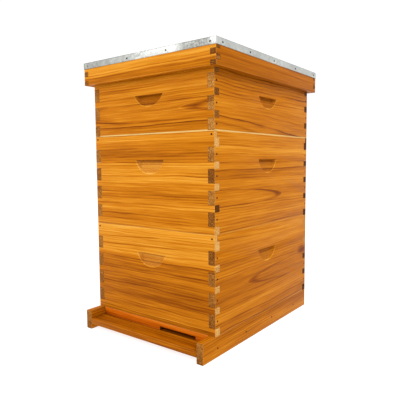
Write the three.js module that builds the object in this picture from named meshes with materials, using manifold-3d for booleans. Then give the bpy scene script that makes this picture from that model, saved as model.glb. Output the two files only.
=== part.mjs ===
// A three-storey beehive: a bottom board with its entrance reducer, two deep brood boxes, a honey super,
// an inner cover and a telescoping outer cover with a metal roof. Every box holds a row of hanging frames.
// Millimetres, +Z up, the entrance faces -Y. The origin is under the middle of the whole hive's outline.
import * as THREE from "three";
import { mergeVertices } from "three/addons/utils/BufferGeometryUtils.js";
import Module from "manifold-3d";

const wasm = await Module();
wasm.setup();

// ---- Driving dimensions ----
const FIT = 0.3; // gap between two pieces that meet

// Boxes
const HIVE_WIDTH = 413; // outside, along X
const HIVE_LENGTH = 505; // outside, along Y
const BOARD = 19; // wall of every box
const DEEP_HEIGHT = 244.5;
const SUPER_HEIGHT = 168.3;
const RABBET_DEPTH = 9.5; // ledge that the frames hang on, cut into the end boards
const RABBET_HEIGHT = 16;

// Corner joints, from the top of a board down
const BOX_JOINT = { top: 38, side: 34, end: 17, least: 8 };
const RIM_JOINT = { top: 8.7, side: 12.5, end: 12.5, least: 6 };

// Hand-holds
const DEEP_HOLD = { width: 100, height: 37, depth: 12, drop: 67 };
const SUPER_HOLD = { width: 100, height: 31, depth: 12, drop: 69.6 };
const HOLD_BEVEL = 1; // how far a hand-hold's round wall leans in for each mm of depth
const HOLD_SEGMENTS = 64; // facets round the cutter of a hand-hold

// Hanging frames
const FRAMES_PER_BOX = 10;
const FRAME_GAP = 0.6; // between two neighbours' shoulders
const SIDE_SPACE = 9.5; // from the row of frames to each side board
const PASSAGE = 8; // between two top bars
const TOP_SPACE = 6.5; // from the frames' tops to the top of their box
const UNDER_SPACE = 6; // from the frames' bottoms to the bottom of their box
const END_SPACE = 9.5; // from an end bar to the end board
const LUG_PLAY = 1.7; // from a lug's tip to the back of its ledge
const TOP_BAR_HEIGHT = 19;
const END_BAR = 10; // thickness
const SHOULDER = 95; // height of an end bar's wide upper part
const SHOULDER_TAPER = 10;
const END_BAR_WAIST = 3.2; // how far each edge steps in below the shoulder
const BOTTOM_BAR_HEIGHT = 9.5;
const BOTTOM_BAR_SET_IN = 8; // narrower than the shoulders, each side
const FOUNDATION = 1.5; // wax sheet
const SET = 2; // how far the bars of a frame run into each other

// Bottom board
const RAIL_HEIGHT = 52;
const LANDING = 50; // how far the floor runs out in front of the boxes
const FLOOR = 15;
const FLOOR_UNDERSIDE = 15; // above the ground

// Entrance reducer
const REDUCER_DEPTH = 19;
const REDUCER_PLAY = 1; // at each end
const WIDE_GATE = { centre: 87.5, width: 118, height: 9.5 };
const NARROW_GATE = { centre: -90, width: 20, depth: 9.5 };

// Inner cover
const INNER_HEIGHT = 18;
const INNER_STRIP = 19;
const INNER_PANEL = 6;
const PANEL_GROOVE = 8;
const BEE_ESCAPE = { length: 90, width: 30 };
const VENT_NOTCH = { width: 30, depth: 5 };

// Outer cover
const COVER_PLAY = 3; // between the super and the rim that hangs round it
const RIM_BOARD = 16;
const RIM_OVERLAP = 27.2; // how far the rim hangs below the top of the super
const DECK = 15;
const SHEET = 0.7;
const SHEET_FLANGE = 17; // height of the roof's turned-down edge

// ---- Colours ----
const finish = (color, roughness, metalness = 0) =>
  new THREE.MeshStandardMaterial({ color, roughness, metalness });
const FIR = finish(0xc97a22, 0.45);
const RAW_PINE = finish(0xdcb883, 0.7);
const PLYWOOD = finish(0xb98a52, 0.65);
const GALVANISED = finish(0xb9bfc2, 0.35, 0.9);

// ---- Solids ----
// A closed geometry as a solid that can be joined and cut.
function solid(geometry) {
  const bare = geometry.clone();
  bare.deleteAttribute("normal");
  bare.deleteAttribute("uv");
  const merged = mergeVertices(bare, 1e-4);
  return new wasm.Manifold(
    new wasm.Mesh({
      numProp: 3,
      vertProperties: merged.attributes.position.array,
      triVerts: new Uint32Array(merged.index.array),
    }),
  );
}

// A solid back as a geometry.
function geometryOf(made) {
  const mesh = made.getMesh();
  const indexed = new THREE.BufferGeometry();
  indexed.setAttribute("position", new THREE.BufferAttribute(mesh.vertProperties, 3));
  indexed.setIndex(new THREE.BufferAttribute(mesh.triVerts, 1));
  const geometry = indexed.toNonIndexed();
  geometry.computeVertexNormals();
  return geometry;
}

function join(...geometries) {
  return geometryOf(geometries.map(solid).reduce((all, next) => all.add(next)));
}

function overlap(one, other) {
  return geometryOf(solid(one).intersect(solid(other)));
}

function cut(geometry, ...cutters) {
  return geometryOf(cutters.map(solid).reduce((left, next) => left.subtract(next), solid(geometry)));
}

// A block between two values on each axis.
function block([x0, x1], [y0, y1], [z0, z1]) {
  return new THREE.BoxGeometry(x1 - x0, y1 - y0, z1 - z0).translate(
    (x0 + x1) / 2,
    (y0 + y1) / 2,
    (z0 + z1) / 2,
  );
}

// An outline of [across, up] points as a board: `across` runs along X, and the board is `thick` along Y.
function boardAlongX(outline, thick) {
  const shape = new THREE.Shape(outline.map(([across, up]) => new THREE.Vector2(across, up)));
  return new THREE.ExtrudeGeometry(shape, { depth: thick, bevelEnabled: false })
    .translate(0, 0, -thick / 2)
    .rotateX(Math.PI / 2);
}

// The same with `across` along Y and the thickness along X.
function boardAlongY(outline, thick) {
  return boardAlongX(outline, thick).rotateZ(Math.PI / 2);
}

function piece(name, geometry, material, y = 0, x = 0, z = 0) {
  const mesh = new THREE.Mesh(geometry, material);
  mesh.name = name;
  mesh.position.set(x, y, z);
  return mesh;
}

function group(z, ...children) {
  const made = new THREE.Group();
  made.position.z = z;
  made.add(...children);
  return made;
}

// ---- Corner joints ----
// The fingers of one corner from the bottom up, as {from, to, owner}. The end boards own the top one.
function fingerRows(height, joint) {
  const rows = [];
  let top = height;
  let owner = "end";
  let size = joint.top;
  while (top > 0) {
    const from = top - size < joint.least ? 0 : top - size;
    rows.unshift({ from, to: top, owner });
    top = from;
    owner = owner === "end" ? "side" : "end";
    size = joint[owner];
  }
  return rows;
}

// Half of a board's outline, from the bottom up: out to `reach` at its own fingers, and back by the
// neighbour's thickness at the others.
function halfOutline(rows, owner, reach, neighbour) {
  const points = [];
  rows.forEach((row, i) => {
    const across = row.owner === owner ? reach : reach - neighbour - FIT;
    const slack = row.owner === owner ? FIT / 2 : -FIT / 2;
    points.push([across, i === 0 ? row.from : row.from + slack]);
    points.push([across, i === rows.length - 1 ? row.to : row.to - slack]);
  });
  return points;
}

const mirrored = (half) => [...half, ...half.map(([across, up]) => [-across, up]).reverse()];

// ---- Boxes ----
// The cutter of a hand-hold in a board whose outside is the plane Y = 0 facing -Y, with the flat top of
// the hold at Z = 0. Its round wall is a cone. Its floor slopes out from the full depth under the flat top
// to nothing at the hold's lowest point.
function holdCutter({ width, height, depth }) {
  const radius = (width * width) / 4 / (2 * height) + height / 2;
  const beyond = 4;
  const under = 1;
  const cone = new THREE.CylinderGeometry(
    radius - (depth + under) * HOLD_BEVEL,
    radius + beyond * HOLD_BEVEL,
    beyond + depth + under,
    HOLD_SEGMENTS,
  ).translate(0, (depth + under - beyond) / 2, radius - height);
  const wedge = boardAlongY(
    [
      [-beyond, 0],
      [-beyond, (-height * (depth + beyond)) / depth],
      [depth, 0],
    ],
    3 * width,
  );
  return overlap(cone, wedge);
}

// One box's four boards round the Z axis, with the box's bottom at Z = 0.
function boxBoards(name, height, hold) {
  const rows = fingerRows(height, BOX_JOINT);
  const holdTop = height - hold.drop;
  const ledge = height - RABBET_HEIGHT;

  const endOutline = mirrored(halfOutline(rows, "end", HIVE_WIDTH / 2, BOARD));
  const rabbet = block(
    [-HIVE_WIDTH, HIVE_WIDTH],
    [BOARD / 2 - RABBET_DEPTH, BOARD],
    [ledge, height + BOARD],
  );
  const endBoard = cut(
    boardAlongX(endOutline, BOARD),
    rabbet,
    holdCutter(hold).translate(0, -BOARD / 2, holdTop),
  );

  // A side board's top corners reach on into the open ends of the rabbets.
  const sideHalf = halfOutline(rows, "side", HIVE_LENGTH / 2, BOARD);
  const [shoulder] = sideHalf.pop();
  const nub = shoulder + RABBET_DEPTH;
  sideHalf.push([shoulder, ledge + FIT], [nub, ledge + FIT], [nub, height]);
  const sideBoard = cut(
    boardAlongY(mirrored(sideHalf), BOARD),
    holdCutter(hold)
      .rotateZ(Math.PI / 2)
      .translate(BOARD / 2, 0, holdTop),
  );

  const endY = (HIVE_LENGTH - BOARD) / 2;
  const sideX = (HIVE_WIDTH - BOARD) / 2;
  return [
    piece(`${name}_front`, endBoard, FIR, -endY),
    piece(`${name}_rear`, endBoard.clone().rotateZ(Math.PI), FIR, endY),
    piece(`${name}_right`, sideBoard, FIR, 0, sideX),
    piece(`${name}_left`, sideBoard.clone().rotateZ(Math.PI), FIR, 0, -sideX),
  ];
}

// ---- Frames ----
const INSIDE_WIDTH = HIVE_WIDTH - 2 * BOARD;
const INSIDE_LENGTH = HIVE_LENGTH - 2 * BOARD;
const FRAME_WIDTH =
  (INSIDE_WIDTH - 2 * SIDE_SPACE - (FRAMES_PER_BOX - 1) * FRAME_GAP) / FRAMES_PER_BOX;
const FRAME_PITCH = FRAME_WIDTH + FRAME_GAP;

// One frame with its wax foundation: its length along Y, its middle on the Z axis, Z = 0 at its box's bottom.
function frameOf(boxHeight) {
  const top = boxHeight - TOP_SPACE;
  const bottom = UNDER_SPACE;
  const lugUnderside = boxHeight - RABBET_HEIGHT + FIT;
  const lugTip = INSIDE_LENGTH / 2 + RABBET_DEPTH - LUG_PLAY;
  const endOut = INSIDE_LENGTH / 2 - END_SPACE;
  const endIn = endOut - END_BAR;
  const barHalf = FRAME_WIDTH / 2 + FRAME_GAP / 2 - PASSAGE / 2;
  const across = (half) => [-half, half];

  const topBar = block(across(barHalf), across(endIn + SET), [top - TOP_BAR_HEIGHT, top]);
  const lugs = block(across(barHalf), across(lugTip), [lugUnderside, top]);
  const shoulderHalf = FRAME_WIDTH / 2;
  const waistHalf = shoulderHalf - END_BAR_WAIST;
  const endBarTop = top - SET;
  const shoulderEnd = endBarTop - SHOULDER;
  const endBar = boardAlongX(
    mirrored([
      [waistHalf, bottom],
      [waistHalf, shoulderEnd - SHOULDER_TAPER],
      [shoulderHalf, shoulderEnd],
      [shoulderHalf, endBarTop],
    ]),
    END_BAR,
  );
  const endMiddle = endOut - END_BAR / 2;
  const bottomHalf = shoulderHalf - BOTTOM_BAR_SET_IN;
  const bottomBar = block(across(bottomHalf), across(endIn + SET), [bottom, bottom + BOTTOM_BAR_HEIGHT]);
  const foundation = block(
    across(FOUNDATION / 2),
    across(endIn + SET),
    [bottom + BOTTOM_BAR_HEIGHT - SET, top - TOP_BAR_HEIGHT + SET],
  );
  return join(
    topBar,
    lugs,
    endBar.clone().translate(0, endMiddle, 0),
    endBar.clone().translate(0, -endMiddle, 0),
    bottomBar,
    foundation,
  );
}

function frameRow(name, boxHeight) {
  const geometry = frameOf(boxHeight);
  return Array.from({ length: FRAMES_PER_BOX }, (_, i) => {
    const number = String(i + 1).padStart(2, "0");
    const x = (i - (FRAMES_PER_BOX - 1) / 2) * FRAME_PITCH;
    return piece(`${name}_${number}`, geometry, RAW_PINE, 0, x);
  });
}

// ---- Bottom board ----
function bottomBoard() {
  const front = -HIVE_LENGTH / 2 - LANDING;
  const back = HIVE_LENGTH / 2;
  const inner = HIVE_WIDTH / 2 - BOARD;
  const rail = block([-BOARD / 2, BOARD / 2], [front, back], [0, RAIL_HEIGHT]);
  const railX = (HIVE_WIDTH - BOARD) / 2;
  const floor = block(
    [-inner + FIT, inner - FIT],
    [front, back - BOARD - FIT],
    [FLOOR_UNDERSIDE, FLOOR_UNDERSIDE + FLOOR],
  );
  const rearRail = block([-inner + FIT, inner - FIT], [back - BOARD, back], [0, RAIL_HEIGHT]);
  return [
    piece("bottom_left_rail", rail, FIR, 0, -railX),
    piece("bottom_right_rail", rail.clone(), FIR, 0, railX),
    piece("bottom_rear_rail", rearRail, FIR),
    piece("bottom_floor", floor, FIR),
  ];
}

// A stick that closes the entrance but for a wide gate in its underside. A narrow gate in its back comes
// into use when the stick is turned over.
function entranceReducer() {
  const half = HIVE_WIDTH / 2 - BOARD - REDUCER_PLAY;
  const front = -HIVE_LENGTH / 2;
  const back = front + REDUCER_DEPTH;
  const low = FLOOR_UNDERSIDE + FLOOR + FIT;
  const span = (centre, width) => [centre - width / 2, centre + width / 2];
  const stick = block([-half, half], [front, back], [low, RAIL_HEIGHT]);
  const wide = block(
    span(WIDE_GATE.centre, WIDE_GATE.width),
    [front - BOARD, back + BOARD],
    [low - BOARD, low + WIDE_GATE.height],
  );
  const narrow = block(
    span(NARROW_GATE.centre, NARROW_GATE.width),
    [back - NARROW_GATE.depth, back + BOARD],
    [low - BOARD, RAIL_HEIGHT + BOARD],
  );
  return piece("entrance_reducer", cut(stick, wide, narrow), FIR);
}

// ---- Inner cover ----
function innerCover() {
  const halfX = HIVE_WIDTH / 2;
  const halfY = HIVE_LENGTH / 2;
  const stripX = halfX - INNER_STRIP / 2;
  const stripY = halfY - INNER_STRIP / 2;
  const panelHalfX = halfX - INNER_STRIP + PANEL_GROOVE;
  const panelHalfY = halfY - INNER_STRIP + PANEL_GROOVE;
  const panelLow = (INNER_HEIGHT - INNER_PANEL) / 2;
  const panelHigh = panelLow + INNER_PANEL;
  const groove = block(
    [-panelHalfX - FIT, panelHalfX + FIT],
    [-panelHalfY - FIT, panelHalfY + FIT],
    [panelLow - FIT, panelHigh + FIT],
  );

  const strip = [-INNER_STRIP / 2, INNER_STRIP / 2];
  const sideStrip = (x) =>
    cut(
      block(strip, [-halfY, halfY], [0, INNER_HEIGHT]),
      groove.clone().translate(-x, 0, 0),
    );
  const endReach = halfX - INNER_STRIP - FIT;
  const endStrip = (y) =>
    cut(
      block([-endReach, endReach], strip, [0, INNER_HEIGHT]),
      groove.clone().translate(0, -y, 0),
    );
  const notch = block(
    [-VENT_NOTCH.width / 2, VENT_NOTCH.width / 2],
    [-INNER_STRIP, INNER_STRIP],
    [INNER_HEIGHT - VENT_NOTCH.depth, INNER_HEIGHT + BOARD],
  );

  // The bee escape is a slot with round ends, along Y.
  const straight = (BEE_ESCAPE.length - BEE_ESCAPE.width) / 2;
  const slot = new THREE.Shape();
  slot.absarc(0, straight, BEE_ESCAPE.width / 2, 0, Math.PI);
  slot.absarc(0, -straight, BEE_ESCAPE.width / 2, Math.PI, 2 * Math.PI);
  slot.closePath();
  const escape = new THREE.ExtrudeGeometry(slot, { depth: BOARD, bevelEnabled: false, curveSegments: 12 });
  const panel = cut(
    block([-panelHalfX, panelHalfX], [-panelHalfY, panelHalfY], [panelLow, panelHigh]),
    escape,
  );

  return [
    piece("inner_cover_left_strip", sideStrip(-stripX), FIR, 0, -stripX),
    piece("inner_cover_right_strip", sideStrip(stripX), FIR, 0, stripX),
    piece("inner_cover_front_strip", cut(endStrip(-stripY), notch), FIR, -stripY),
    piece("inner_cover_rear_strip", endStrip(stripY), FIR, stripY),
    piece("inner_cover_panel", panel, PLYWOOD),
  ];
}

// ---- Outer cover ----
const RIM_HEIGHT = RIM_OVERLAP + INNER_HEIGHT;
const COVER_WIDTH = HIVE_WIDTH + 2 * (COVER_PLAY + RIM_BOARD);
const COVER_LENGTH = HIVE_LENGTH + 2 * (COVER_PLAY + RIM_BOARD);

// Z = 0 is the underside of the rim.
function outerCover() {
  const rows = fingerRows(RIM_HEIGHT, RIM_JOINT);
  const endBoard = boardAlongX(mirrored(halfOutline(rows, "end", COVER_WIDTH / 2, RIM_BOARD)), RIM_BOARD);
  const sideBoard = boardAlongY(mirrored(halfOutline(rows, "side", COVER_LENGTH / 2, RIM_BOARD)), RIM_BOARD);
  const endY = (COVER_LENGTH - RIM_BOARD) / 2;
  const sideX = (COVER_WIDTH - RIM_BOARD) / 2;

  const deckLow = RIM_HEIGHT + FIT;
  const deckHigh = deckLow + DECK;
  const slab = (grow, z) =>
    block(
      [-COVER_WIDTH / 2 - grow, COVER_WIDTH / 2 + grow],
      [-COVER_LENGTH / 2 - grow, COVER_LENGTH / 2 + grow],
      z,
    );
  const sheetTop = deckHigh + FIT + SHEET;
  const roof = cut(
    slab(FIT + SHEET, [sheetTop - SHEET_FLANGE, sheetTop]),
    slab(FIT, [sheetTop - 2 * SHEET_FLANGE, sheetTop - SHEET]),
  );
  return [
    piece("cover_rim_front", endBoard, FIR, -endY),
    piece("cover_rim_rear", endBoard.clone(), FIR, endY),
    piece("cover_rim_right", sideBoard, FIR, 0, sideX),
    piece("cover_rim_left", sideBoard.clone(), FIR, 0, -sideX),
    piece("cover_deck", slab(0, [deckLow, deckHigh]), PLYWOOD),
    piece("cover_roof_sheet", roof, GALVANISED),
  ];
}

// ---- The hive ----
// Each storey stands on the one below it.
const LOWER_DEEP_Z = RAIL_HEIGHT + FIT;
const UPPER_DEEP_Z = LOWER_DEEP_Z + DEEP_HEIGHT + FIT;
const SUPER_Z = UPPER_DEEP_Z + DEEP_HEIGHT + FIT;
const INNER_COVER_Z = SUPER_Z + SUPER_HEIGHT + FIT;
const OUTER_COVER_Z = INNER_COVER_Z + INNER_HEIGHT - RIM_HEIGHT;

// The landing sticks out in front, and the cover hangs over behind.
const FRONT_REACH = HIVE_LENGTH / 2 + LANDING;
const REAR_REACH = COVER_LENGTH / 2 + FIT + SHEET;

const beehive = new THREE.Group();
beehive.name = "beehive";
beehive.position.y = (FRONT_REACH - REAR_REACH) / 2;
beehive.add(
  group(0, ...bottomBoard(), entranceReducer()),
  group(
    LOWER_DEEP_Z,
    ...boxBoards("lower_deep", DEEP_HEIGHT, DEEP_HOLD),
    ...frameRow("lower_frame", DEEP_HEIGHT),
  ),
  group(
    UPPER_DEEP_Z,
    ...boxBoards("upper_deep", DEEP_HEIGHT, DEEP_HOLD),
    ...frameRow("upper_frame", DEEP_HEIGHT),
  ),
  group(
    SUPER_Z,
    ...boxBoards("super", SUPER_HEIGHT, SUPER_HOLD),
    ...frameRow("super_frame", SUPER_HEIGHT),
  ),
  group(INNER_COVER_Z, ...innerCover()),
  group(OUTER_COVER_Z, ...outerCover()),
);

export default beehive;
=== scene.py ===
import logging
import math
import random
from collections.abc import Callable, Iterable
from dataclasses import dataclass, field
from enum import Enum

import bmesh
import bpy
from mathutils import Matrix, Vector


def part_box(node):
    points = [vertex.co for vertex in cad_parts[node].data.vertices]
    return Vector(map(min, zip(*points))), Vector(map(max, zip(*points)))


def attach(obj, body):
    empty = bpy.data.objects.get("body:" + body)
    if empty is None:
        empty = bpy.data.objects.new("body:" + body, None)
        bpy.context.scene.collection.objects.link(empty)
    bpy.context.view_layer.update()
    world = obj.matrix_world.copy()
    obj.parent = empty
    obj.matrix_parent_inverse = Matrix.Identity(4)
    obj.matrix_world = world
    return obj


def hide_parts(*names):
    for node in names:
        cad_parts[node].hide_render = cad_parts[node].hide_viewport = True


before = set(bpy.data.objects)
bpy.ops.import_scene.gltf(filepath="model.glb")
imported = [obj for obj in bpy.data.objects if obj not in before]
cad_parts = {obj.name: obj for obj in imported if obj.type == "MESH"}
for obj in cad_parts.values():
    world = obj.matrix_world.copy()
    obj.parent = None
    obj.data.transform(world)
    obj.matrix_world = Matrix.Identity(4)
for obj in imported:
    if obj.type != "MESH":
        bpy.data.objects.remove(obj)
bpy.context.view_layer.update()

MM = 0.001

log = logging.getLogger("beehive")

Colour = tuple[float, float, float, float]
Socket = bpy.types.NodeSocket
Piece = bpy.types.Object
Element = bmesh.types.BMVert | bmesh.types.BMEdge | bmesh.types.BMFace


def srgb(red: float, green: float, blue: float, share: float = 1.0) -> Colour:
    """Turns a display colour into the linear colour that a shader takes.

    Args:
        red: Red, 0 to 255.
        green: Green, 0 to 255.
        blue: Blue, 0 to 255.
        share: How much of that brightness the surface itself has, the rest being strong light.

    Returns:
        The linear colour with full alpha.
    """

    def linear(value: float) -> float:
        """Returns one channel made linear."""
        part = value / 255
        return part / 12.92 if part <= 0.04045 else ((part + 0.055) / 1.055) ** 2.4

    return (share * linear(red), share * linear(green), share * linear(blue), 1.0)


# ---- Mesh work ----

SHARP = math.radians(30)  # faces that meet at more than this make a corner


def only(piece: Piece) -> Piece:
    """Deselects everything else and makes one piece active.

    Args:
        piece: The object to work on.

    Returns:
        The same object.
    """
    bpy.ops.object.select_all(action="DESELECT")
    piece.select_set(True)
    bpy.context.view_layer.objects.active = piece
    return piece


def pick(kind: str, wanted: Callable[[Element], bool]) -> None:
    """Selects faces, edges or vertices of the piece in edit mode.

    Args:
        kind: "faces", "edges" or "verts".
        wanted: A function that says whether an element is selected.
    """
    shape = bmesh.from_edit_mesh(bpy.context.object.data)
    modes = {"verts": "VERT", "edges": "EDGE", "faces": "FACE"}
    bpy.ops.mesh.select_mode(type=modes[kind])
    bpy.ops.mesh.select_all(action="DESELECT")
    shape.normal_update()
    for element in getattr(shape, kind):
        if wanted(element):
            element.select_set(True)
    shape.select_flush_mode()
    bmesh.update_edit_mesh(bpy.context.object.data)


def outer_edge(edge: bmesh.types.BMEdge) -> bool:
    """Returns whether an edge is a sharp outside corner."""
    return edge.is_manifold and edge.is_convex and edge.calc_face_angle(0) > SHARP


def ease_edges(width: float, segments: int = 2) -> None:
    """Bevels every outside corner of the piece in edit mode.

    Args:
        width: How far the bevel reaches on each face, in metres.
        segments: Facets across the bevel.
    """
    pick("edges", outer_edge)
    bpy.ops.mesh.bevel(offset=width, segments=segments, affect="EDGES", clamp_overlap=True)


def smooth(piece: Piece, degrees: float = 32) -> Piece:
    """Smooths a piece's shading across its blunt edges.

    Args:
        piece: The object to smooth.
        degrees: Edges sharper than this stay crisp.

    Returns:
        The same piece.
    """
    only(piece)
    bpy.ops.object.shade_smooth_by_angle(angle=math.radians(degrees))
    return piece


def cad_board(node: str, name: str, ease: float) -> Piece:
    """Makes a board from a CAD node's shape, with its arrises eased.

    Args:
        node: The CAD node that the board stands for.
        name: The new piece's name.
        ease: Width of the rounding along each arris, in metres.

    Returns:
        The new board, which stands for the node.
    """
    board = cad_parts[node].copy()
    board.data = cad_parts[node].data.copy()
    board.name = board.data.name = name
    board.parent = None
    board.matrix_world = Matrix.Identity(4)
    bpy.context.scene.collection.objects.link(board)
    only(board)
    if board.data.has_custom_normals:
        bpy.ops.mesh.customdata_custom_splitnormals_clear()
    bpy.ops.object.mode_set(mode="EDIT")
    bpy.ops.mesh.select_all(action="SELECT")
    bpy.ops.mesh.remove_doubles(threshold=0.01 * MM)
    bpy.ops.mesh.dissolve_limited(angle_limit=math.radians(0.5))
    ease_edges(ease)
    bpy.ops.object.mode_set(mode="OBJECT")
    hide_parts(node)
    return smooth(board)


def block(name: str, low: Vector, high: Vector) -> Piece:
    """Adds a cube primitive between two corners and leaves it in edit mode.

    Args:
        name: The new piece's name.
        low: Lowest corner, in metres.
        high: Highest corner, in metres.

    Returns:
        The new object, at the origin and unscaled.
    """
    if bpy.context.object and bpy.context.object.mode != "OBJECT":
        bpy.ops.object.mode_set(mode="OBJECT")
    bpy.ops.object.select_all(action="DESELECT")
    bpy.ops.mesh.primitive_cube_add(size=1)
    piece = bpy.context.object
    piece.name = piece.data.name = name
    size = Vector(high) - Vector(low)
    middle = (Vector(high) + Vector(low)) / 2
    piece.data.transform(Matrix.Translation(middle) @ Matrix.Diagonal((*size, 1)))
    bpy.ops.object.mode_set(mode="EDIT")
    return piece


def cut_across(axis: int, place: float, keep: int = 0) -> None:
    """Cuts new edges right round the piece in edit mode.

    Args:
        axis: 0, 1 or 2 for a plane across X, Y or Z.
        place: Where the plane stands on that axis, in metres.
        keep: -1 or 1 to keep only what lies below or above the plane, 0 to keep both sides.
    """
    normal = [0.0, 0.0, 0.0]
    point = [0.0, 0.0, 0.0]
    normal[axis] = 1.0
    point[axis] = place
    bpy.ops.mesh.select_all(action="SELECT")
    bpy.ops.mesh.bisect(plane_co=point, plane_no=normal, clear_outer=keep < 0, clear_inner=keep > 0)


def push_faces(wanted: Callable[[bmesh.types.BMFace], bool], move: Vector) -> None:
    """Extrudes the chosen faces of the piece in edit mode.

    Args:
        wanted: A function that says whether a face is chosen.
        move: How far and which way the faces move, in metres.
    """
    pick("faces", wanted)
    bpy.ops.mesh.extrude_region_move(TRANSFORM_OT_translate={"value": move})


def joined(name: str, pieces: list[Piece]) -> Piece:
    """Joins several objects into one piece.

    Args:
        name: The joined piece's name.
        pieces: The objects, the first of which gives its origin.

    Returns:
        The joined piece.
    """
    bpy.ops.object.select_all(action="DESELECT")
    for piece in pieces:
        piece.select_set(True)
    bpy.context.view_layer.objects.active = pieces[0]
    if len(pieces) > 1:
        bpy.ops.object.join()
    pieces[0].name = pieces[0].data.name = name
    return pieces[0]


def copied(pattern: Piece, name: str, place: Matrix) -> Piece:
    """Copies a modelled piece with a mesh of its own.

    Args:
        pattern: The piece that is copied.
        name: The copy's name.
        place: Where the copy goes, applied to its mesh.

    Returns:
        The copy.
    """
    copy = pattern.copy()
    copy.data = pattern.data.copy()
    copy.name = copy.data.name = name
    copy.data.transform(place)
    bpy.context.scene.collection.objects.link(copy)
    return copy


def discard(piece: Piece) -> None:
    """Removes a pattern that has been copied everywhere it is needed."""
    bpy.data.meshes.remove(piece.data)


def fitted(piece: Piece, body: str, slot: str, *finishes: bpy.types.Material) -> Piece:
    """Dresses a piece, lets it ride on its body and reports it.

    Args:
        piece: The finished mesh.
        body: The CAD body that it moves with.
        slot: A material slot's name; not used.
        finishes: Its materials, in the order of its material slots.

    Returns:
        The same piece.
    """
    slots = piece.data.materials
    while len(slots) > len(finishes):
        slots.pop()
    while len(slots) < len(finishes):
        slots.append(None)
    for place, finish in enumerate(finishes):
        slots[place] = finish
    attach(piece, body)
    log.info("%s rides on %s, %d faces", piece.name, body, len(piece.data.polygons))
    return piece


# ---- Finishes ----


class Value:
    """A number in a material's nodes, which takes +, -, *, /, ** and abs()."""

    def __init__(self, bench: "Bench", socket: Socket) -> None:
        """Keeps where the number comes out.

        Args:
            bench: The nodes that it belongs to.
            socket: The output that carries it, which may hold a vector or a colour too.
        """
        self.bench = bench
        self.socket = socket

    def __add__(self, other: "Number") -> "Value":
        """Returns the sum."""
        return self.bench.math("ADD", self, other)

    def __sub__(self, other: "Number") -> "Value":
        """Returns the difference."""
        return self.bench.math("SUBTRACT", self, other)

    def __mul__(self, other: "Number") -> "Value":
        """Returns the product."""
        return self.bench.math("MULTIPLY", self, other)

    def __truediv__(self, other: "Number") -> "Value":
        """Returns the quotient."""
        return self.bench.math("DIVIDE", self, other)

    def __pow__(self, other: "Number") -> "Value":
        """Returns the power."""
        return self.bench.math("POWER", self, other)

    def __abs__(self) -> "Value":
        """Returns the size without its sign."""
        return self.bench.math("ABSOLUTE", self)


Number = Value | float


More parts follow.
